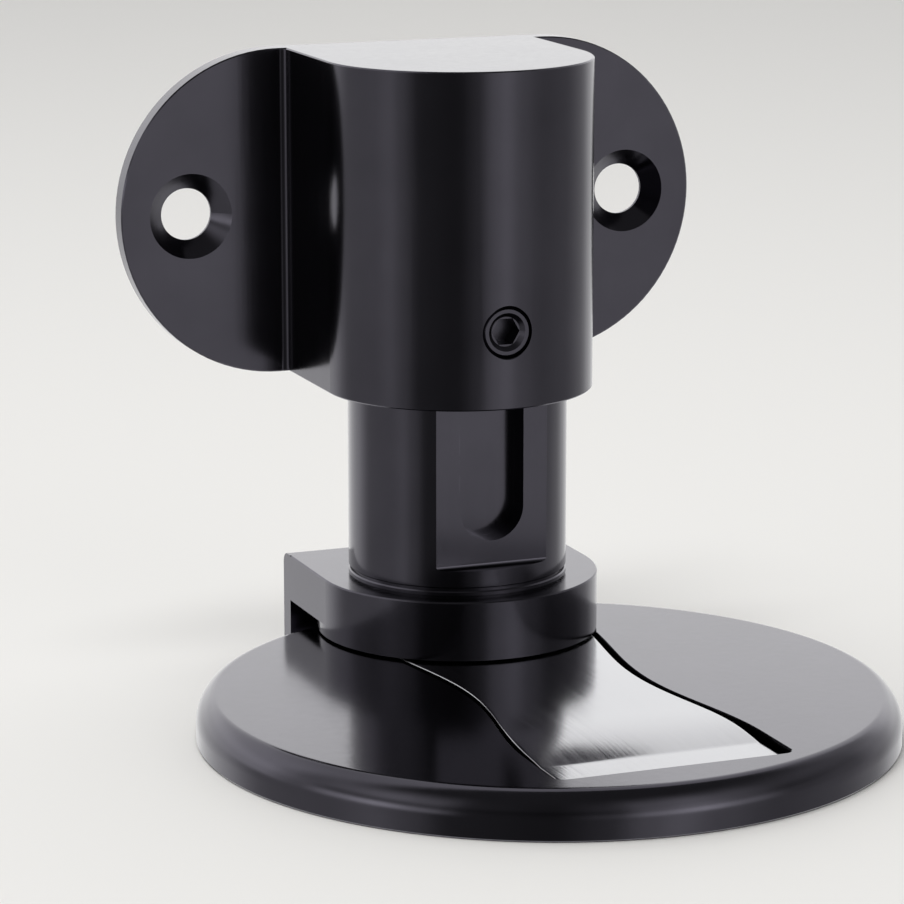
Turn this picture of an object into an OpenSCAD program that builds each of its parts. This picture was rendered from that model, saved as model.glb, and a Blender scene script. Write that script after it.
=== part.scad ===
// Magnetic floor door holder: a floor disc with a hinged catch tongue, and a door
// bracket whose post slides up and down and carries the magnet collar.
// Origin: centre of the disc on the floor. +Z is up, and the door is at +Y.

/* [Floor disc] */
// Diameter of the floor disc
disc_d = 80; // [76:1:90]
// Height of the disc's flat top above the floor
disc_top = 5.3; // [5.2:0.1:6]
// Radius of the disc's rounded edge
edge_round = 4; // [3.8:0.1:4.6]
// Thickness of the adhesive pad under the disc
floor_pad_t = 0.4; // [0.3:0.1:0.6]
// Height of the tongue well's floor
well_floor = 1.3; // [1.2:0.05:1.4]

/* [Catch tongue] */
// Thickness of the steel tongue
tongue_t = 1.6; // [1.4:0.1:1.7]
// Half width of the tongue at its waist
waist_half = 10.2; // [9:0.1:11]
// Half width of the tongue at its hinged front end
front_half = 12.9; // [12.5:0.1:13.5]
// Half width of the tongue at its free back end
back_half = 13; // [12.5:0.1:13.5]
// Gap between the tongue's waist and the well's wall
well_gap = 0.7; // [0.6:0.05:1.2]
// Distance of the tongue's middle line from the disc's centre
tongue_x = 1; // [0:0.1:1.2]
// Distance from the disc's centre to the tongue's hinged end
tongue_front = 32.5; // [32:0.1:33]
// Radius of the tongue's free end about the disc's centre
tongue_back_r = 34.5; // [34:0.1:34.8]
// Diameter of the hinge pin
hinge_pin_d = 1.8; // [1.6:0.1:2]

/* [Door bracket] */
// Distance from the disc's centre to the post's axis
post_y = 28.4; // [28:0.1:28.8]
// Half width of the housing, which is also its front radius
housing_r = 16; // [15.8:0.1:16.6]
// Distance from the post's axis to the front of the two ears
ear_front = 14.9; // [14.6:0.1:15.2]
// Thickness of the two ears
ear_t = 2.4; // [2.2:0.1:3]
// Radius of the rounded ears, which is half the bracket's height
ear_r = 19.5; // [19:0.1:20]
// Distance from the bracket's middle to the centre of each ear's arc
ear_x = 17.1; // [16.8:0.1:18]
// Height of the bracket's middle above the floor
bracket_z = 54.5; // [54:0.1:56]
// Distance between the two screw holes
hole_spacing = 56; // [54:0.5:58]
// Diameter of the screw holes
hole_d = 6.2; // [5:0.1:6.4]
// Diameter of the countersinks
countersink_d = 10.2; // [9:0.1:10.4]
// Height of the clamping screw above the floor
set_screw_z = 44; // [43:0.1:45]
// Diameter of the clamping screw
set_screw_d = 6; // [5:0.5:6]
// Radius of the fillets between the housing and the ears
ear_fillet = 0.8; // [0.5:0.1:1.5]
// Thickness of the adhesive pad behind the bracket
door_pad_t = 0.8; // [0.6:0.1:1]

/* [Post] */
// Diameter of the sliding post
post_d = 26; // [25.6:0.1:26.2]
// Height of the post's top above the floor
post_top = 52; // [51:0.1:52]
// Distance from the post's axis to its milled flat
flat_y = 11; // [10.8:0.1:11.4]
// Height of the ledge where the flat ends
ledge_z = 15.4; // [15:0.1:15.6]
// Width of the slot in the flat
slot_w = 8; // [7:0.1:8.4]
// Height of the slot's round lower end
slot_bottom = 18.4; // [18.2:0.1:19]
// Height of the slot's round upper end
slot_top = 49.4; // [49:0.1:49.6]
// Distance from the post's axis to the slot's floor
slot_floor = 8.1; // [7.6:0.1:8.4]

/* [Magnet collar] */
// Half width of the collar, which is also its front radius
collar_r = 16.75; // [16.4:0.05:17]
// Height of the collar's top above the floor
collar_top = 12.6; // [12.5:0.1:12.8]
// Height of the underside of the collar's back part
collar_shelf = 7; // [6.8:0.1:7.2]
// Height of the underside of the round magnet boss
boss_bottom = 5.6; // [5.55:0.05:5.8]
// Distance from the post's axis to the inside of the back lip
lip_front = 12.8; // [12.7:0.1:13]
// Thickness of the back lip
lip_t = 2.4; // [2:0.1:2.6]
// Height of the lip's lower edge above the floor
lip_bottom = 1.5; // [1:0.1:2]
// Diameter of the ring magnet
magnet_d = 20; // [18:0.5:21]

/* [Hidden] */
$fn = 96;
black = "#26262b";
steel = "#c9ccd0";
rubber = "#1c1c1e";
// How far a cutting shape runs past the face that it cuts
past = 1;
// Radial clearance of a running fit
running = 0.05;
// Small chamfer on the metal edges
chamfer = 0.15;

disc_r = disc_d / 2;
disc_bottom = 0.1;
pad_r = disc_r - 1.5;
// Height of the circle's centre that rounds the disc's edge
edge_z = disc_top - sqrt(pow(edge_round, 2) - pow(edge_round - 1.9, 2));
// A small circle blends the disc's flat top into that edge: its radius, its centre and
// its tangent point on the edge, both from the edge's own centre
blend_r = 1.2;
blend_z = disc_top - blend_r - edge_z;
blend_x = sqrt(pow(edge_round - blend_r, 2) - pow(blend_z, 2));
blend_end = [blend_x, blend_z] * edge_round / (edge_round - blend_r);

// The tongue's and the well's outlines each have a waist between two smooth shoulders:
// half widths at the waist, front and back, then the y of the waist, front and back
tongue_shape = [waist_half, front_half, back_half, 1, -22.5, 25.5];
well_shape = [waist_half + well_gap, front_half + 0.95, back_half + 0.8, -0.5, -24.5, 26];
outline_step = 1.5;
corner_r = 1.2;
well_front = tongue_front + 0.3;
well_back_r = tongue_back_r + 1;

// Heights along the tongue's top: at its free end, where it bends and on its front strip
tongue_top = 5.3;
tongue_bend = 5.2;
tongue_strip = 4.6;
level_y = 12.5;
bend_y = -12.5;
strip_y = -26.1;
strip_power = 2.5;
profile_step = 1.7;
hinge_y = -30;
hinge_z = 2.9;
knuckle_r = 1.5;
knuckle_half = 9;
pin_half = 17;
rest_d = 3;
rest_x = 6;
rest_y = 30;
rest_h = 0.55;

bracket_bottom = bracket_z - ear_r;
bracket_top = bracket_z + ear_r;
bore_r = post_d / 2 + 0.06;
bore_top = bracket_top - 2.6;
pad_inset = 0.8;
pad_hole_d = countersink_d + 1;

post_r = post_d / 2;
foot_bead_h = 0.35;
groove_depth = 0.5;
groove_h = 0.35;
ledge_fillet = 0.4;
post_chamfer = 0.8;

lip_back = lip_front + lip_t;
collar_back_round = 1.3;
cup_wall = 1.4;
cup_base = 1.2;
cup_r = magnet_d / 2 + 0.1 + cup_wall;
cup_top = 10.6;
magnet_top = cup_top - cup_base;
magnet_bore_r = 2.3;
m4_r = 2;
m4_head_r = 4;
m4_head_h = 2.2;
m4_top = 20;
m4_bottom = boss_bottom + 0.2;
dowel_r = 1;
dowel_y = 8;
dowel_half = 1.8;
bumper_half = 9;
bumper_t = 0.7;
bumper_bottom = 1.9;
bumper_top = 4.6;

set_screw_front = housing_r - 0.35;
set_screw_tip = slot_floor + 0.15;
set_screw_chamfer = 0.35;
socket_mouth_d = 4.5;
socket_across = 3;
socket_depth = 3;
m4_socket_across = 2.5;

// 0 to 1 with level ends
function ease(t) = (1 - cos(180 * min(1, max(0, t)))) / 2;

// Half width at y of an outline of the given shape
function half_width(y, s) = y < s[3]
    ? s[0] + (s[1] - s[0]) * ease((s[3] - y) / (s[3] - s[4]))
    : s[0] + (s[2] - s[0]) * ease((y - s[3]) / (s[5] - s[3]));

// Right-hand side of an outline, from its rounded front corner to its round back end
function outline_side(front_y, back_r, s) = concat(
    [for (a = [-90:15:0])
        [s[1] - corner_r + corner_r * cos(a), front_y + corner_r + corner_r * sin(a)]],
    [for (y = [front_y + 2 * corner_r:outline_step:sqrt(pow(back_r, 2) - pow(s[2], 2))])
        [half_width(y, s), y]],
    [for (a = [acos(s[2] / back_r):6:90]) [back_r * cos(a), back_r * sin(a)]]);

// The same points in reverse order on the other side
function mirrored(side) = [for (i = [len(side) - 1:-1:0]) [-side[i].x, side[i].y]];

module waisted_outline(front_y, back_r, shape) {
    side = outline_side(front_y, back_r, shape);
    polygon(concat(side, mirrored(side)));
}

// Height of the tongue's top at y: level under the magnet, then nearly level to the bend,
// from where it falls ever more steeply to the level front strip
function tongue_z(y) = y > bend_y
    ? tongue_top + (tongue_bend - tongue_top) * ease((level_y - y) / (level_y - bend_y))
    : tongue_bend - (tongue_bend - tongue_strip)
        * pow((bend_y - y) / (bend_y - strip_y), strip_power);

// Prism along X of an outline drawn in the Y-Z plane
module along_x(half) {
    translate([-half, 0, 0]) rotate([90, 0, 90]) linear_extrude(2 * half) children();
}

// Cylinder along Y from y0 to y1
module along_y(r, y0, y1) {
    translate([0, y1, 0]) rotate([90, 0, 0]) cylinder(r = r, h = y1 - y0);
}

// Block with a half-round front of radius r about the post's axis and straight sides
// back to y = back, with a small chamfer round its top and bottom
module round_front_block(r, back, bottom, top, bottom_chamfer) {
    section = [[0, bottom], [r - bottom_chamfer, bottom], [r, bottom + bottom_chamfer],
        [r, top - chamfer], [r - chamfer, top], [0, top]];
    rotate([0, 0, 180]) rotate_extrude(angle = 180) polygon(section);
    for (side = [0, 1]) {
        mirror([side, 0, 0]) translate([0, back, 0]) rotate([90, 0, 0])
            linear_extrude(back) polygon(section);
    }
}

// Half section of the disc, with its rounded edge and the blend at the edge's top
module disc_section() {
    difference() {
        intersection() {
            union() {
                square([disc_r - edge_round, disc_top]);
                translate([disc_r - edge_round, edge_z]) circle(r = edge_round);
                square([disc_r, edge_z]);
            }
            translate([0, disc_bottom]) square([disc_r, disc_top - disc_bottom]);
        }
        translate([disc_r - edge_round, edge_z]) difference() {
            polygon([[blend_x, blend_z], [blend_x, blend_z + blend_r + past],
                [blend_end.x, blend_z + blend_r + past], blend_end]);
            translate([blend_x, blend_z]) circle(r = blend_r);
        }
    }
}

module floor_plate() {
    color(black) difference() {
        rotate_extrude($fn = 180) disc_section();
        cylinder(r = pad_r + running, h = floor_pad_t);
        translate([tongue_x, 0, well_floor]) linear_extrude(disc_top)
            waisted_outline(-well_front, well_back_r, well_shape);
        translate([tongue_x - pin_half - 0.1, hinge_y, hinge_z]) rotate([0, 90, 0])
            cylinder(d = hinge_pin_d + 0.04, h = 2 * pin_half + 0.2);
    }
}

module floor_adhesive() {
    color("dimgray") cylinder(r = pad_r, h = floor_pad_t);
}

module catch_tongue() {
    top = concat([[-tongue_front, tongue_strip]],
        [for (y = [strip_y:profile_step:level_y]) [y, tongue_z(y)]],
        [[level_y, tongue_top], [tongue_back_r, tongue_top]]);
    bottom = [for (i = [len(top) - 1:-1:0]) [top[i].x, top[i].y - tongue_t]];
    color(steel) translate([tongue_x, 0, 0]) difference() {
        union() {
            intersection() {
                along_x(back_half + past) polygon(concat(top, bottom));
                linear_extrude(disc_top + tongue_t)
                    waisted_outline(-tongue_front, tongue_back_r, tongue_shape);
            }
            translate([0, hinge_y, hinge_z]) along_x(knuckle_half) circle(r = knuckle_r);
        }
        translate([-pin_half, hinge_y, hinge_z]) rotate([0, 90, 0])
            cylinder(r = hinge_pin_d / 2 + running, h = 2 * pin_half);
    }
}

module hinge_pin() {
    color(steel) translate([tongue_x - pin_half, hinge_y, hinge_z]) rotate([0, 90, 0])
        cylinder(d = hinge_pin_d, h = 2 * pin_half);
}

module tongue_rests() {
    color(rubber) for (side = [-1, 1]) {
        translate([tongue_x + side * rest_x, rest_y, well_floor])
            cylinder(d = rest_d, h = rest_h);
    }
}

// One ear's round end, with a chamfered front edge
module ear_end(side) {
    translate([side * ear_x, 0, bracket_z]) {
        along_y(ear_r, ear_front + chamfer, ear_front + ear_t);
        translate([0, ear_front + chamfer, 0]) rotate([90, 0, 0])
            cylinder(r1 = ear_r, r2 = ear_r - chamfer, h = chamfer);
    }
}

// Straight middle of the ears' plate, with chamfered front edges
module ear_middle() {
    back = ear_front + ear_t;
    along_x(ear_x) polygon([[back, bracket_bottom], [back, bracket_top],
        [ear_front + chamfer, bracket_top], [ear_front, bracket_top - chamfer],
        [ear_front, bracket_bottom + chamfer], [ear_front + chamfer, bracket_bottom]]);
}

// Fillet between one side of the housing and the ear beside it
module side_fillet() {
    translate([housing_r, ear_front - ear_fillet, bracket_bottom + chamfer])
        linear_extrude(bracket_top - bracket_bottom - 2 * chamfer) difference() {
            square(ear_fillet);
            translate([ear_fillet, 0]) circle(r = ear_fillet);
        }
}

module countersunk_hole(x) {
    sink = (countersink_d - hole_d) / 2;
    translate([x, 0, bracket_z]) {
        along_y(hole_d / 2, ear_front - past, ear_front + ear_t + past);
        translate([0, ear_front + sink, 0]) rotate([90, 0, 0])
            cylinder(d1 = hole_d, d2 = countersink_d, h = sink);
    }
}

module door_bracket() {
    color(black) translate([0, post_y, 0]) difference() {
        union() {
            round_front_block(housing_r, ear_front + ear_t, bracket_bottom, bracket_top, chamfer);
            ear_end(-1);
            ear_end(1);
            ear_middle();
            side_fillet();
            mirror([1, 0, 0]) side_fillet();
        }
        translate([0, 0, bracket_bottom - past])
            cylinder(r = bore_r, h = bore_top - bracket_bottom + past);
        translate([0, 0, bracket_bottom - past])
            cylinder(r1 = bore_r + past + chamfer, r2 = bore_r, h = past + chamfer);
        countersunk_hole(-hole_spacing / 2);
        countersunk_hole(hole_spacing / 2);
        translate([0, 0, set_screw_z]) {
            along_y(set_screw_d / 2 + running, -housing_r - past, -bore_r + past);
            translate([0, -housing_r + chamfer, 0]) rotate([90, 0, 0])
                cylinder(d1 = set_screw_d, d2 = set_screw_d + 4 * chamfer, h = 2 * chamfer);
        }
    }
}

module door_adhesive() {
    back = ear_front + ear_t;
    color("dimgray") translate([0, post_y, bracket_z]) difference() {
        union() {
            for (side = [-1, 1]) {
                translate([side * ear_x, 0, 0]) along_y(ear_r - pad_inset, back, back + door_pad_t);
            }
            translate([-ear_x, back, pad_inset - ear_r])
                cube([2 * ear_x, door_pad_t, 2 * (ear_r - pad_inset)]);
        }
        for (side = [-1, 1]) {
            translate([side * hole_spacing / 2, 0, 0])
                along_y(pad_hole_d / 2, back - past, back + door_pad_t + past);
        }
    }
}

// Cuts the post's flat, down to a ledge with a small fillet behind it
module flat_cut() {
    along_x(post_r) difference() {
        translate([-post_r - past, ledge_z]) square([post_r + past - flat_y, post_top]);
        translate([-flat_y - ledge_fillet, ledge_z]) difference() {
            square(ledge_fillet);
            translate([0, ledge_fillet]) circle(r = ledge_fillet);
        }
    }
}

module height_post() {
    groove_bottom = collar_top + foot_bead_h;
    groove_top = groove_bottom + groove_h;
    color(black) translate([0, post_y, 0]) difference() {
        rotate_extrude() polygon([[0, collar_top], [post_r, collar_top],
            [post_r, groove_bottom - chamfer], [post_r - chamfer, groove_bottom],
            [post_r - groove_depth, groove_bottom], [post_r - groove_depth, groove_top],
            [post_r - chamfer, groove_top], [post_r, groove_top + chamfer],
            [post_r, post_top - post_chamfer], [post_r - post_chamfer, post_top],
            [0, post_top]]);
        flat_cut();
        translate([-slot_w / 2, -post_r, slot_bottom + slot_w / 2])
            cube([slot_w, post_r - slot_floor, slot_top - slot_bottom - slot_w]);
        for (z = [slot_bottom + slot_w / 2, slot_top - slot_w / 2]) {
            translate([0, 0, z]) along_y(slot_w / 2, -post_r, -slot_floor);
        }
        translate([0, 0, collar_top - past]) cylinder(r = m4_r, h = m4_top - collar_top + past);
        translate([0, dowel_y, collar_top - past]) cylinder(r = dowel_r, h = dowel_half + past);
    }
}

module catch_collar() {
    color(black) translate([0, post_y, 0]) difference() {
        union() {
            round_front_block(collar_r, lip_front, collar_shelf, collar_top, 0);
            translate([-collar_r, lip_front, lip_bottom])
                cube([2 * collar_r, lip_t, collar_top - lip_bottom]);
            intersection() {
                translate([0, 0, boss_bottom]) cylinder(r = collar_r, h = collar_shelf - boss_bottom + past);
                translate([-collar_r, -collar_r, 0])
                    cube([2 * collar_r, collar_r + lip_front + past, collar_top]);
            }
        }
        along_x(collar_r + past) difference() {
            translate([lip_back - collar_back_round, collar_top - collar_back_round])
                square(collar_back_round + past);
            translate([lip_back - collar_back_round, collar_top - collar_back_round])
                circle(r = collar_back_round);
        }
        translate([0, 0, boss_bottom - past]) cylinder(r = cup_r, h = cup_top - boss_bottom + past);
        cylinder(r = m4_r + 0.1, h = collar_top + past);
        translate([0, dowel_y, collar_top - dowel_half])
            cylinder(r = dowel_r, h = dowel_half + past);
    }
}

module magnet_cup() {
    color("silver") translate([0, post_y, 0]) difference() {
        translate([0, 0, boss_bottom]) cylinder(r = cup_r, h = cup_top - boss_bottom);
        translate([0, 0, boss_bottom - past])
            cylinder(r = cup_r - cup_wall, h = magnet_top - boss_bottom + past);
        cylinder(r = m4_r + 0.1, h = cup_top + past);
    }
}

module catch_magnet() {
    color("gainsboro") translate([0, post_y, 0]) difference() {
        translate([0, 0, boss_bottom]) cylinder(d = magnet_d, h = magnet_top - boss_bottom);
        translate([0, 0, boss_bottom - past]) cylinder(r = magnet_bore_r, h = magnet_top);
        translate([0, 0, boss_bottom - past]) cylinder(r = m4_head_r + 0.2, h = past + 0.2);
        translate([0, 0, boss_bottom + 0.2])
            cylinder(r1 = m4_head_r + 0.2, r2 = m4_r + 0.2, h = m4_head_h);
    }
}

module collar_screw() {
    color(steel) translate([0, post_y, 0]) difference() {
        union() {
            translate([0, 0, m4_bottom]) cylinder(r1 = m4_head_r, r2 = m4_r, h = m4_head_h - 0.2);
            translate([0, 0, m4_bottom]) cylinder(r = m4_r, h = m4_top - m4_bottom);
        }
        translate([0, 0, m4_bottom - past])
            cylinder(d = m4_socket_across * 2 / sqrt(3), h = past + 1.4, $fn = 6);
    }
}

module collar_pin() {
    color(steel) translate([0, post_y + dowel_y, collar_top - dowel_half])
        cylinder(r = dowel_r, h = 2 * dowel_half);
}

module bumper_pad() {
    color(rubber) translate([-bumper_half, post_y + lip_front - bumper_t, bumper_bottom])
        cube([2 * bumper_half, bumper_t, bumper_top - bumper_bottom]);
}

module set_screw() {
    tip_chamfer = 2 * set_screw_chamfer;
    socket_d = socket_across * 2 / sqrt(3);
    mouth_depth = (socket_mouth_d - socket_d) / 2;
    color("#3a3a3e") translate([0, post_y, set_screw_z]) difference() {
        union() {
            along_y(set_screw_d / 2, -set_screw_front + set_screw_chamfer,
                -set_screw_tip - tip_chamfer);
            translate([0, -set_screw_front + set_screw_chamfer, 0]) rotate([90, 0, 0])
                cylinder(d1 = set_screw_d, d2 = set_screw_d - 2 * set_screw_chamfer,
                    h = set_screw_chamfer);
            translate([0, -set_screw_tip - tip_chamfer, 0]) rotate([-90, 0, 0])
                cylinder(d1 = set_screw_d, d2 = set_screw_d - 2 * tip_chamfer, h = tip_chamfer);
        }
        translate([0, -set_screw_front + socket_depth, 0]) rotate([90, 0, 0])
            cylinder(d = socket_d, h = socket_depth + past, $fn = 6);
        translate([0, -set_screw_front + mouth_depth, 0]) rotate([90, 0, 0])
            cylinder(d1 = socket_d, d2 = socket_mouth_d, h = mouth_depth);
    }
}

floor_plate();
floor_adhesive();
catch_tongue();
hinge_pin();
tongue_rests();
door_bracket();
door_adhesive();
height_post();
catch_collar();
magnet_cup();
catch_magnet();
collar_screw();
collar_pin();
bumper_pad();
set_screw();
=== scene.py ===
"""Magnetic floor door holder: looks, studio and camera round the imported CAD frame."""
import math
from collections import namedtuple
import bpy
import bmesh
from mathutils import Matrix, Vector


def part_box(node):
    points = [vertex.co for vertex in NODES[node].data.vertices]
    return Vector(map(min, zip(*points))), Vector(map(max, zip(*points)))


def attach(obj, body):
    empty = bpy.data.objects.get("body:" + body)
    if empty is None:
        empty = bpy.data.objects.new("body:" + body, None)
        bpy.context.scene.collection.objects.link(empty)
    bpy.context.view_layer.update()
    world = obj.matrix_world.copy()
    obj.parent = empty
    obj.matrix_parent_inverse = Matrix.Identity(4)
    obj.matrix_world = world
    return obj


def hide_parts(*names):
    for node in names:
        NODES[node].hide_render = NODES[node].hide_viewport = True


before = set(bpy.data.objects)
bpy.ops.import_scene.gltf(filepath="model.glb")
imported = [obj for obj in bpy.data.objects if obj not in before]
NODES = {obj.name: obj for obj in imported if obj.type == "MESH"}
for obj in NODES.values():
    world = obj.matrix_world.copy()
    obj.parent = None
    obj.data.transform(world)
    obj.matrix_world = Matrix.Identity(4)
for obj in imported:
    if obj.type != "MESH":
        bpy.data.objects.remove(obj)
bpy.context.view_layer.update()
MM = 0.001

# ---------------------------------------------------------------- camera
# The camera looks at the post from the front left and a little from above.
CAMERA_AZIMUTH = math.radians(-21.4)
CAMERA_ELEVATION = math.radians(12.55)
CAMERA_DISTANCE = 456.3 * MM
AIM_LEFT, AIM_HEIGHT = 0.66 * MM, 26.8 * MM
SENSOR = 36.0
LENS = 152.7
CLIP_START, CLIP_END = 0.02, 20


def middle(node):
    """Middle of a CAD node's box."""
    low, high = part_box(node)
    return (low + high) / 2


def make_camera():
    """Aims the camera just left of the post's axis."""
    post = middle("height_post")
    target = Vector((post.x - AIM_LEFT, post.y, AIM_HEIGHT))
    back = Vector((math.sin(CAMERA_AZIMUTH) * math.cos(CAMERA_ELEVATION),
                   -math.cos(CAMERA_AZIMUTH) * math.cos(CAMERA_ELEVATION),
                   math.sin(CAMERA_ELEVATION)))
    data = bpy.data.cameras.new("camera")
    data.lens = LENS
    data.sensor_width = SENSOR
    data.clip_start = CLIP_START
    data.clip_end = CLIP_END
    camera = bpy.data.objects.new("camera", data)
    camera.location = target + back * CAMERA_DISTANCE
    camera.rotation_mode = "QUATERNION"
    camera.rotation_quaternion = (-back).to_track_quat("-Z", "Y")
    bpy.context.scene.collection.objects.link(camera)
    bpy.context.scene.camera = camera


# ---------------------------------------------------------------- node helpers
class Tree:
    """Short names for adding and linking shader nodes."""

    def __init__(self, owner):
        owner.use_nodes = True
        self.tree = owner.node_tree
        self.tree.nodes.clear()

    def add(self, kind, **settings):
        node = self.tree.nodes.new(kind)
        for name, value in settings.items():
            setattr(node, name, value)
        return node

    def link(self, source, target):
        self.tree.links.new(source, target)

    def put(self, socket, value):
        """Links value into socket if it is a socket, and else sets it as the default."""
        if isinstance(value, bpy.types.NodeSocket):
            self.link(value, socket)
        else:
            socket.default_value = value

    def math(self, operation, *values):
        node = self.add("ShaderNodeMath", operation=operation)
        for socket, value in zip(node.inputs, values):
            self.put(socket, value)
        return node.outputs[0]

    def ramp(self, factor, stops, interpolation="EASE"):
        """Colour ramp. stops are (position, grey or colour)."""
        node = self.add("ShaderNodeValToRGB")
        node.color_ramp.interpolation = interpolation
        elements = node.color_ramp.elements
        while len(elements) > 1:
            elements.remove(elements[-1])
        for number, (position, colour) in enumerate(stops):
            element = elements[0] if number == 0 else elements.new(position)
            element.position = position
            grey = isinstance(colour, (int, float))
            element.color = (colour, colour, colour, 1) if grey else (*colour, 1)
        self.put(node.inputs[0], factor)
        return node.outputs[0]

    def mix(self, factor, first, second):
        """The first colour where the factor is 0, and the second where it is 1."""
        node = self.add("ShaderNodeMix", data_type="RGBA")
        inputs = [socket for socket in node.inputs if socket.enabled]
        for socket, value in zip(inputs, (factor, first, second)):
            self.put(socket, value)
        return [socket for socket in node.outputs if socket.enabled][0]

    def noise(self, vector, scale, detail=3.0, roughness=0.55):
        node = self.add("ShaderNodeTexNoise")
        self.put(node.inputs["Vector"], vector)
        node.inputs["Scale"].default_value = scale
        node.inputs["Detail"].default_value = detail
        node.inputs["Roughness"].default_value = roughness
        return node.outputs[0]

    def stretched(self, scale):
        """Object coordinates in metres, stretched by a scale for each axis."""
        coordinates = self.add("ShaderNodeTexCoord").outputs["Object"]
        mapping = self.add("ShaderNodeMapping")
        self.link(coordinates, mapping.inputs["Vector"])
        mapping.inputs["Scale"].default_value = scale
        return mapping.outputs[0]

    def edges(self, radius):
        """1 along sharp edges, falling to 0 on open faces, where the two normals are alike."""
        rounded = self.add("ShaderNodeBevel", samples=4)
        rounded.inputs["Radius"].default_value = radius
        flat = self.add("ShaderNodeNewGeometry").outputs["Normal"]
        likeness = self.add("ShaderNodeVectorMath", operation="DOT_PRODUCT")
        self.link(rounded.outputs[0], likeness.inputs[0])
        self.link(flat, likeness.inputs[1])
        return self.ramp(likeness.outputs["Value"], [(0.88, 1.0), (0.98, 0.0)])


# ---------------------------------------------------------------- studio
WORLD_STRENGTH = 2.0
# Brightness all round by azimuth in degrees, 0 towards the front and 90 to the right:
# a bright backdrop behind, a tall softbox at the left, another at the front right, and
# dark flags between them. The softboxes are brightest near the horizon, and the backdrop
# a little above it.
BELOW_HORIZON = [(-180, 1.1), (-150, 1.05), (-125, 0.5), (-95, 0.5), (-80, 0.6), (-68, 0.38),
                 (-54, 0.11), (-20, 0.08), (-4, 0.2), (9, 0.6), (20, 0.78), (34, 0.5),
                 (54, 0.36), (80, 0.42), (105, 0.6), (125, 0.95), (180, 1.1)]
NEAR_HORIZON = [(-180, 1.32), (-128, 1.3), (-108, 0.6), (-94, 1.3), (-78, 1.9), (-62, 0.9),
                (-48, 0.1), (-20, 0.07), (-2, 0.3), (10, 1.2), (26, 1.9), (42, 0.9),
                (60, 0.3), (90, 0.4), (110, 0.8), (128, 1.3), (180, 1.32)]
LOW_DOWN = [(-180, 1.56), (-128, 1.54), (-108, 0.7), (-94, 0.4), (-78, 0.45), (-62, 0.35),
            (-48, 0.08), (-20, 0.05), (-2, 0.15), (10, 0.7), (26, 1.0), (42, 0.5),
            (60, 0.2), (90, 0.35), (110, 0.8), (128, 1.54), (180, 1.56)]
HIGH_UP = [(-180, 1.3), (-128, 1.3), (-108, 0.6), (-94, 0.7), (-78, 0.9), (-62, 0.6),
           (-48, 0.12), (-20, 0.08), (-2, 0.2), (10, 0.6), (26, 0.8), (42, 0.5),
           (60, 0.3), (90, 0.4), (110, 0.6), (128, 1.3), (180, 1.3)]
OVERHEAD = [(-180, 0.9), (-112, 0.9), (-84, 0.1), (84, 0.1), (112, 0.9), (180, 0.9)]
# Each band takes over from the one below it between two heights on the unit sphere
BANDS = [(-0.10, 0.06, NEAR_HORIZON), (0.10, 0.26, LOW_DOWN), (0.28, 0.46, HIGH_UP),
         (0.50, 0.85, OVERHEAD)]
FLOOR_REACH = 3.0
FLOOR_CORNERS = [(-1, -1), (1, -1), (1, 1), (-1, 1)]
FLOOR_COLOUR = (0.80, 0.79, 0.77, 1)


def by_azimuth(tree, azimuth, profile):
    """Turns a profile into a colour ramp, from straight behind all round to behind again."""
    return tree.ramp(azimuth, [(angle / 360 + 0.5, value / WORLD_STRENGTH)
                               for angle, value in profile])


def make_world():
    """Lights the scene from all round by the profiles, one over the other by height."""
    world = bpy.data.worlds.new("studio")
    bpy.context.scene.world = world
    tree = Tree(world)
    direction = tree.add("ShaderNodeTexCoord").outputs["Generated"]
    split = tree.add("ShaderNodeSeparateXYZ")
    tree.link(direction, split.inputs[0])
    x, y, z = split.outputs
    turn = tree.math("ARCTAN2", x, tree.math("MULTIPLY", y, -1.0))
    azimuth = tree.math("MULTIPLY_ADD", turn, 0.5 / math.pi, 0.5)
    height = tree.math("MULTIPLY_ADD", z, 0.5, 0.5)
    colour = by_azimuth(tree, azimuth, BELOW_HORIZON)
    for start, end, profile in BANDS:
        blend = tree.ramp(height, [(start / 2 + 0.5, 0.0), (end / 2 + 0.5, 1.0)])
        colour = tree.mix(blend, colour, by_azimuth(tree, azimuth, profile))
    background = tree.add("ShaderNodeBackground")
    tree.link(colour, background.inputs["Color"])
    background.inputs["Strength"].default_value = WORLD_STRENGTH
    output = tree.add("ShaderNodeOutputWorld")
    tree.link(background.outputs[0], output.inputs["Surface"])


def make_floor():
    """A plain pale floor, which the metal's mirror images don't show."""
    corners = [(x * FLOOR_REACH, y * FLOOR_REACH, 0) for x, y in FLOOR_CORNERS]
    mesh = bpy.data.meshes.new("floor")
    mesh.from_pydata(corners, [], [(0, 1, 2, 3)])
    floor = bpy.data.objects.new("floor", mesh)
    bpy.context.scene.collection.objects.link(floor)
    material = bpy.data.materials.new("floor")
    tree = Tree(material)
    shader = tree.add("ShaderNodeBsdfPrincipled")
    shader.inputs["Base Color"].default_value = FLOOR_COLOUR
    shader.inputs["Roughness"].default_value = 0.75
    shader.inputs["Specular IOR Level"].default_value = 0.2
    output = tree.add("ShaderNodeOutputMaterial")
    tree.link(shader.outputs[0], output.inputs["Surface"])
    mesh.materials.append(material)
    floor.visible_glossy = False


def make_light(name, place, aim, size, power):
    """A rectangular area light that neither the camera nor the metal's mirror images show."""
    data = bpy.data.lights.new(name, "AREA")
    data.shape = "RECTANGLE"
    data.size, data.size_y = size
    data.energy = power
    light = bpy.data.objects.new(name, data)
    light.location = place
    light.rotation_mode = "QUATERNION"
    light.rotation_quaternion = (Vector(aim) - Vector(place)).to_track_quat("-Z", "Y")
    light.visible_camera = False
    light.visible_glossy = False
    bpy.context.scene.collection.objects.link(light)


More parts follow.
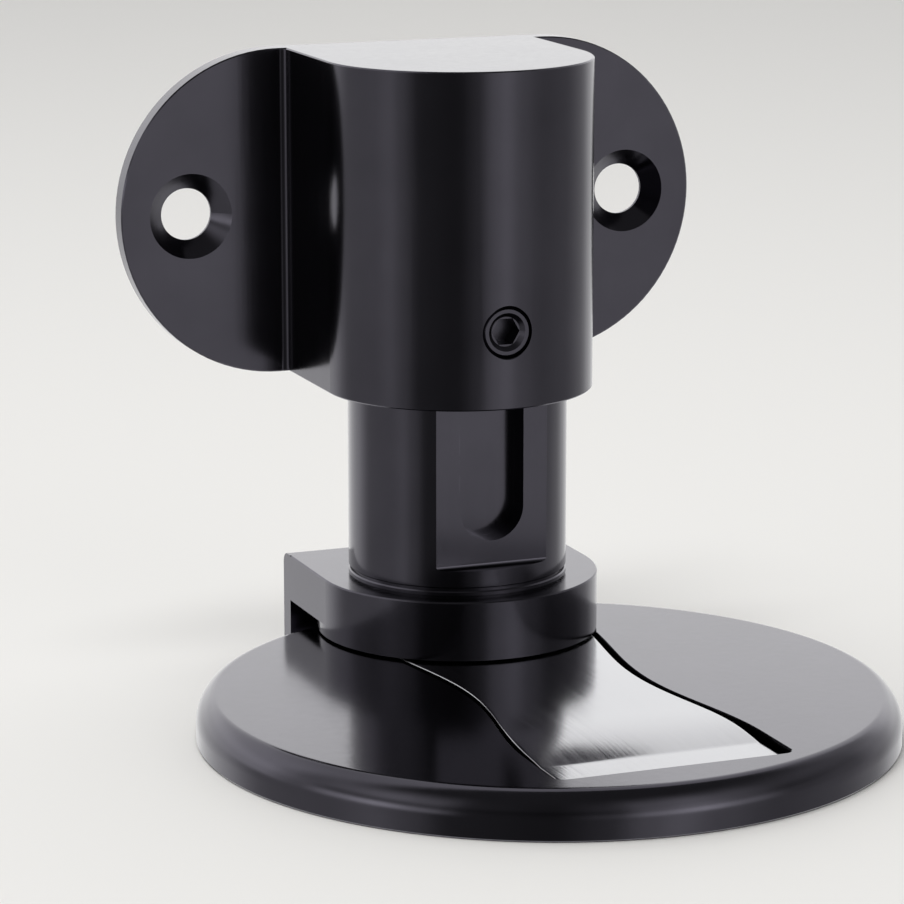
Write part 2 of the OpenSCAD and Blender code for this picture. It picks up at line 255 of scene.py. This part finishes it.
# ---------------------------------------------------------------- materials
def principled(name, colour, roughness, metallic=1.0):
    """A new material with its tree and shader, wired to the output."""
    material = bpy.data.materials.new(name)
    tree = Tree(material)
    shader = tree.add("ShaderNodeBsdfPrincipled")
    tree.put(shader.inputs["Base Color"], (*colour, 1))
    shader.inputs["Roughness"].default_value = roughness
    shader.inputs["Metallic"].default_value = metallic
    output = tree.add("ShaderNodeOutputMaterial")
    tree.link(shader.outputs[0], output.inputs["Surface"])
    return material, tree, shader


def bump(tree, shader, height, depth):
    """Roughens a shader's surface by a pattern with a depth in metres."""
    node = tree.add("ShaderNodeBump")
    tree.link(height, node.inputs["Height"])
    node.inputs["Distance"].default_value = depth
    node.inputs["Strength"].default_value = 1.0
    tree.link(node.outputs[0], shader.inputs["Normal"])


def tint(colour, factor):
    """A colour made lighter or darker by a factor, as red, green, blue and alpha."""
    return (*(factor * part for part in colour), 1)


BLACK_METAL = (0.082, 0.078, 0.094)
# Scales for the axes of a pattern: the same all round, or drawn out along Z or Y
EVEN, BRUSHED_UPRIGHT, BRUSHED_LENGTHWISE = (1, 1, 1), (1, 1, 0.04), (6, 0.15, 1)
# Cycles of each pattern in a metre
CLOUD_SCALE, WEAR_SCALE = 90, 600
STEEL_CLOUD_SCALE, SCRATCH_SCALE = 120, 400
WEAR_RADIUS = 0.15 * MM
PLATING_DEPTH, SCRATCH_DEPTH = 0.004 * MM, 0.006 * MM
RUBBER_DEPTH, FOAM_DEPTH = 0.02 * MM, 0.05 * MM
# How far each pattern moves a material's roughness
PLATING_SPREAD, WORN_SPREAD = 0.05, 0.08
SCRATCH_SPREAD, STEEL_CLOUD_SPREAD = 0.16, 0.04
SOFT_SPREAD, SOFT_DROP = 0.15, 0.08


def black_plating(name, grain, roughness=0.17, brushed=EVEN):
    """Black plated metal: a dark mirror with a fine grain, softly varied gloss and worn edges."""
    material, tree, shader = principled(name, BLACK_METAL, roughness)
    cloud = tree.noise(tree.stretched(EVEN), CLOUD_SCALE, 4)
    fine = tree.noise(tree.stretched(brushed), grain, 2)
    speckle = tree.noise(tree.stretched(EVEN), WEAR_SCALE, 3)
    patches = tree.ramp(speckle, [(0.42, 0.0), (0.62, 1.0)])
    worn = tree.math("MULTIPLY", tree.edges(WEAR_RADIUS), patches)
    uneven = tree.math("MULTIPLY", cloud, PLATING_SPREAD)
    uneven = tree.math("ADD", uneven, tree.math("MULTIPLY", fine, PLATING_SPREAD))
    uneven = tree.math("MULTIPLY_ADD", worn, WORN_SPREAD, uneven)
    rough = tree.math("ADD", uneven, roughness - PLATING_SPREAD)
    tree.link(rough, shader.inputs["Roughness"])
    plated = tree.mix(cloud, tint(BLACK_METAL, 0.82), tint(BLACK_METAL, 1.18))
    tree.link(tree.mix(worn, plated, tint(BLACK_METAL, 1.7)), shader.inputs["Base Color"])
    bump(tree, shader, fine, PLATING_DEPTH)
    return material


def bright_metal(name, colour, roughness, lines=EVEN):
    """Bright metal with a fine grain, which a scale for each axis draws out into brushed lines."""
    material, tree, shader = principled(name, colour, roughness)
    scratch = tree.noise(tree.stretched(lines), SCRATCH_SCALE, 3, 0.6)
    cloud = tree.noise(tree.stretched(EVEN), STEEL_CLOUD_SCALE, 3)
    uneven = tree.math("MULTIPLY_ADD", scratch, SCRATCH_SPREAD, roughness - SCRATCH_SPREAD / 2)
    rough = tree.math("MULTIPLY_ADD", cloud, STEEL_CLOUD_SPREAD, uneven)
    tree.link(rough, shader.inputs["Roughness"])
    shade = tree.mix(scratch, tint(colour, 0.93), tint(colour, 1.05))
    tree.link(shade, shader.inputs["Base Color"])
    bump(tree, shader, scratch, SCRATCH_DEPTH)
    return material


def soft_material(name, colour, roughness, grain, depth):
    """Rubber or foam: matt, with a fine uneven grain."""
    material, tree, shader = principled(name, colour, roughness, metallic=0.0)
    speckle = tree.noise(tree.stretched(EVEN), grain, 5)
    tree.link(tree.mix(speckle, tint(colour, 0.8), tint(colour, 1.25)), shader.inputs["Base Color"])
    rough = tree.math("MULTIPLY_ADD", speckle, SOFT_SPREAD, roughness - SOFT_DROP)
    tree.link(rough, shader.inputs["Roughness"])
    bump(tree, shader, speckle, depth)
    return material


# ---------------------------------------------------------------- mesh helpers
SHARP_ANGLE = math.radians(35)


def as_object(name, mesh):
    """Turns a bmesh into a new object, with its faces' normals outwards."""
    data = bpy.data.meshes.new(name)
    bmesh.ops.recalc_face_normals(mesh, faces=mesh.faces)
    mesh.to_mesh(data)
    mesh.free()
    made = bpy.data.objects.new(name, data)
    bpy.context.scene.collection.objects.link(made)
    return made


def combine(target, tool, operation):
    """Applies a boolean to the target and removes the tool."""
    modifier = target.modifiers.new(operation, "BOOLEAN")
    modifier.operation = operation
    modifier.solver = "EXACT"
    modifier.object = tool
    evaluated = target.evaluated_get(bpy.context.evaluated_depsgraph_get())
    result = bpy.data.meshes.new_from_object(evaluated)
    target.modifiers.clear()
    target.data = result
    bpy.data.objects.remove(tool)


def finish_piece(piece, material, body, node):
    """Shades a piece and puts it in place of its CAD node."""
    piece.data.materials.clear()
    piece.data.materials.append(material)
    piece.data.shade_smooth()
    piece.data.set_sharp_from_angle(angle=SHARP_ANGLE)
    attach(piece, body)
    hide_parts(node)


def arc(centre, radius, first, last, steps):
    """Points along an arc, from and to an angle in degrees."""
    turns = [math.radians(first + (last - first) * step / steps) for step in range(steps + 1)]
    return [(centre[0] + radius * math.cos(turn), centre[1] + radius * math.sin(turn))
            for turn in turns]


# ---------------------------------------------------------------- waisted outlines
# The tongue and the disc's well share a kind of outline, a waist between two shoulders.
# All their lengths are in millimetres, as the CAD model has them.
Shape = namedtuple("Shape", "waist front back waist_y front_y back_y")
TONGUE_SHAPE = Shape(10.2, 12.9, 13.0, 1, -22.5, 25.5)
WELL_SHAPE = Shape(10.9, 13.85, 13.8, -0.5, -24.5, 26)
CORNER_R = 1.2
CORNER_STEPS, SIDE_ROWS, BACK_STEPS = 8, 150, 24
WELD = 0.002
MIDDLE_X = middle("catch_tongue").x / MM


def ease(way):
    """0 to 1 along a smooth step, level at both ends."""
    return (1 - math.cos(math.pi * min(1, max(0, way)))) / 2


def half_width(y, shape):
    """An outline's half width at y, between its waist and the nearer shoulder."""
    end, shoulder = shape.back, shape.back_y
    if y < shape.waist_y:
        end, shoulder = shape.front, shape.front_y
    way = (y - shape.waist_y) / (shoulder - shape.waist_y)
    return shape.waist + (end - shape.waist) * ease(way)


def outline_side(shape, front, back_r):
    """Right-hand side of an outline from its front corner to the middle of its back end."""
    start = front + CORNER_R
    end = math.sqrt(back_r ** 2 - shape.back ** 2)
    points = arc((shape.front - CORNER_R, start), CORNER_R, -90, 0, CORNER_STEPS)
    for row in range(1, SIDE_ROWS):
        y = start + (end - start) * row / SIDE_ROWS
        points.append((half_width(y, shape), y))
    back_angle = math.degrees(math.acos(shape.back / back_r))
    return points + arc((0, 0), back_r, back_angle, 90, BACK_STEPS)


def inset_side(side, distance):
    """The same points moved in across the outline by a distance, or out if it is negative."""
    moved = []
    # The points past the side's two ends belong to the left-hand side, its mirror image
    beyond = [(-x, y) for x, y in (side[0], side[-2])]
    for number, (x, y) in enumerate(side):
        before = side[number - 1] if number else beyond[0]
        after = side[number + 1] if number + 1 < len(side) else beyond[1]
        along = Vector((after[0] - before[0], after[1] - before[1])).normalized()
        moved.append((max(0, x - along.y * distance), y + along.x * distance))
    return moved


def waisted_solid(side, levels):
    """A closed solid. Each level is how far the outline is inset and its height at y."""
    mesh = bmesh.new()
    rings = []
    for inset, height in levels:
        rings.append([[mesh.verts.new(((MIDDLE_X + sign * x) * MM, y * MM, height(y) * MM))
                       for sign in (-1, 1)] for x, y in inset_side(side, inset)])
    for lower, upper in zip(rings, rings[1:]):
        join_rings(mesh, lower, upper)
    for ring in (rings[0], rings[-1]):
        for near, far in zip(ring, ring[1:]):
            mesh.faces.new((near[0], near[1], far[1], far[0]))
    bmesh.ops.remove_doubles(mesh, verts=mesh.verts, dist=WELD * MM)
    return mesh


def join_rings(mesh, lower, upper):
    """Walls between two rings, down both sides and across the front end."""
    for row in range(len(lower) - 1):
        mesh.faces.new((lower[row][1], lower[row + 1][1], upper[row + 1][1], upper[row][1]))
        mesh.faces.new((lower[row + 1][0], lower[row][0], upper[row][0], upper[row + 1][0]))
    mesh.faces.new((lower[0][0], lower[0][1], upper[0][1], upper[0][0]))


HINGE_Y, HINGE_Z = -30.0, 2.9
BAR_SEGMENTS = 64


def hinge_bar(radius, half):
    """A closed round bar along X about the hinge's axis."""
    mesh = bmesh.new()
    ends = []
    for x in (MIDDLE_X - half, MIDDLE_X + half):
        ends.append([mesh.verts.new((x * MM, y * MM, z * MM))
                     for y, z in arc((HINGE_Y, HINGE_Z), radius, 0, 360, BAR_SEGMENTS)[:-1]])
    for step in range(BAR_SEGMENTS):
        after = (step + 1) % BAR_SEGMENTS
        mesh.faces.new((ends[0][step], ends[0][after], ends[1][after], ends[1][step]))
    for end in ends:
        mesh.faces.new(end)
    return mesh


# ---------------------------------------------------------------- catch tongue
TONGUE_T = 1.6
TONGUE_BEND, TONGUE_STRIP = 5.2, 4.6
LEVEL_Y, BEND_Y, STRIP_Y = 12.5, -12.5, -26.1
STRIP_POWER = 2.5
KNUCKLE_R, KNUCKLE_HALF = 1.5, 9.0
PIN_BORE_R = 0.95
TONGUE_EDGE_R, TONGUE_EDGE_STEPS = 0.13, 5
# A level border inside the rounded edge, which keeps the wide faces evenly shaded
TONGUE_BORDER = 0.3


def tongue_height(y, top):
    """Height of the tongue's upper face: level at the back, and falling from the bend on."""
    if y > BEND_Y:
        return top + (TONGUE_BEND - top) * ease((LEVEL_Y - y) / (LEVEL_Y - BEND_Y))
    fall = min(1, (BEND_Y - y) / (BEND_Y - STRIP_Y))
    return TONGUE_BEND - (TONGUE_BEND - TONGUE_STRIP) * fall ** STRIP_POWER


def make_tongue(material):
    """The steel tongue with rounded edges, and a knuckle under its front end for the pin."""
    low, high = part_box("catch_tongue")
    top = high.z / MM
    centre = (TONGUE_EDGE_R, TONGUE_EDGE_R)
    rounding = arc(centre, TONGUE_EDGE_R, 180, 270, TONGUE_EDGE_STEPS)
    rounding.append((TONGUE_EDGE_R + TONGUE_BORDER, 0))
    levels = [(inset, lambda y, drop=drop: tongue_height(y, top) - TONGUE_T + drop)
              for inset, drop in reversed(rounding)]
    levels += [(inset, lambda y, drop=drop: tongue_height(y, top) - drop)
               for inset, drop in rounding]
    side = outline_side(TONGUE_SHAPE, low.y / MM, high.y / MM)
    tongue = as_object("steel_tongue", waisted_solid(side, levels))
    combine(tongue, as_object("knuckle", hinge_bar(KNUCKLE_R, KNUCKLE_HALF)), "UNION")
    combine(tongue, as_object("bore", hinge_bar(PIN_BORE_R, 2 * KNUCKLE_HALF)), "DIFFERENCE")
    finish_piece(tongue, material, "tongue", "catch_tongue")


# ---------------------------------------------------------------- floor disc
DISC_EDGE_R, DISC_EDGE_IN = 4.0, 1.9
DISC_BLEND_R = 1.2
DISC_EDGE_STEPS, DISC_BLEND_STEPS = 26, 12
DISC_BORDER = 0.3
DISC_CHAMFER = 0.1
DISC_RIM_LINE = 0.3
PAD_RECESS_R, PAD_RECESS_TOP = 38.55, 0.4
DISC_SEGMENTS = 288
WELL_FLOOR, WELL_FRONT, WELL_BACK_R = 1.3, -32.8, 35.5
WELL_EDGE = 0.12
CUTTER_RISE = 1
PIN_HOLE_R, PIN_HOLE_HALF = 0.92, 17.1


def disc_profile(radius, bottom, top):
    """Half section of the disc as (radius, height), from the pad's recess to the flat top."""
    edge_z = top - math.sqrt(DISC_EDGE_R ** 2 - (DISC_EDGE_R - DISC_EDGE_IN) ** 2)
    edge_x = radius - DISC_EDGE_R
    blend_z = top - DISC_BLEND_R
    blend_x = edge_x + math.sqrt((DISC_EDGE_R - DISC_BLEND_R) ** 2 - (blend_z - edge_z) ** 2)
    meet = math.degrees(math.atan2(blend_z - edge_z, blend_x - edge_x))
    profile = [(PAD_RECESS_R, PAD_RECESS_TOP), (PAD_RECESS_R, bottom),
               (radius - DISC_CHAMFER, bottom), (radius, bottom + DISC_CHAMFER),
               (radius, edge_z - DISC_RIM_LINE)]
    profile += arc((edge_x, edge_z), DISC_EDGE_R, 0, meet, DISC_EDGE_STEPS)
    profile += arc((blend_x, blend_z), DISC_BLEND_R, meet, 90, DISC_BLEND_STEPS)[1:]
    return profile + [(blend_x - DISC_BORDER, top)]


def lathe(profile):
    """A closed solid turned about Z, with flat discs closing its first and last rings."""
    mesh = bmesh.new()
    turns = [2 * math.pi * step / DISC_SEGMENTS for step in range(DISC_SEGMENTS)]
    rings = [[mesh.verts.new((r * math.cos(turn) * MM, r * math.sin(turn) * MM, z * MM))
              for turn in turns] for r, z in profile]
    for lower, upper in zip(rings, rings[1:]):
        for step in range(DISC_SEGMENTS):
            after = (step + 1) % DISC_SEGMENTS
            mesh.faces.new((lower[step], lower[after], upper[after], upper[step]))
    mesh.faces.new(rings[0])
    mesh.faces.new(rings[-1])
    return mesh


def make_disc(material):
    """The round floor plate, with its well for the tongue and its hole for the hinge pin."""
    low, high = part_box("floor_plate")
    top = high.z / MM
    disc = as_object("disc_plate", lathe(disc_profile(high.x / MM, low.z / MM, top)))
    # The well's walls stand upright and lean out by 45 degrees at their upper edge, and the
    # cutter goes on past the disc's top
    levels = [(0, lambda y: WELL_FLOOR), (0, lambda y: top - WELL_EDGE),
              (-WELL_EDGE - CUTTER_RISE, lambda y: top + CUTTER_RISE)]
    side = outline_side(WELL_SHAPE, WELL_FRONT, WELL_BACK_R)
    combine(disc, as_object("well", waisted_solid(side, levels)), "DIFFERENCE")
    combine(disc, as_object("pin_hole", hinge_bar(PIN_HOLE_R, PIN_HOLE_HALF)), "DIFFERENCE")
    finish_piece(disc, material, "floor_unit", "floor_plate")


def dress(node, material):
    """Gives a CAD node one material."""
    slots = NODES[node].data.materials
    slots.clear()
    slots.append(material)


make_camera()
make_world()
make_floor()
make_light("overhead", place=(-0.15, -0.05, 0.9), aim=(0, 0, 0), size=(0.5, 0.5), power=4.4)

plate_black = black_plating("plate_black", 900, 0.15)
bracket_black = black_plating("bracket_black", 1100, 0.17, BRUSHED_UPRIGHT)
post_black = black_plating("post_black", 1100, 0.16, BRUSHED_UPRIGHT)
collar_black = black_plating("collar_black", 1400)
tongue_steel = bright_metal("tongue_steel", (0.385, 0.385, 0.40), 0.13, BRUSHED_LENGTHWISE)
plain_steel = bright_metal("plain_steel", (0.55, 0.56, 0.57), 0.3)
nickel = bright_metal("nickel", (0.60, 0.58, 0.55), 0.2)
screw_black = black_plating("screw_black", 2500, 0.32)
rubber = soft_material("rubber", (0.02, 0.02, 0.02), 0.8, 2500, RUBBER_DEPTH)
foam = soft_material("foam", (0.05, 0.05, 0.052), 0.9, 3500, FOAM_DEPTH)

NODE_MATERIALS = {
    "door_bracket": bracket_black, "height_post": post_black, "catch_collar": collar_black,
    "hinge_pin": plain_steel, "magnet_cup": plain_steel, "collar_screw": plain_steel,
    "collar_pin": plain_steel, "catch_magnet": nickel, "set_screw": screw_black,
    "tongue_rests": rubber, "bumper_pad": rubber, "floor_adhesive": foam,
    "door_adhesive": foam}
for node_name, node_material in NODE_MATERIALS.items():
    dress(node_name, node_material)
make_disc(plate_black)
make_tongue(tongue_steel)

bpy.context.scene.view_settings.view_transform = "Standard"
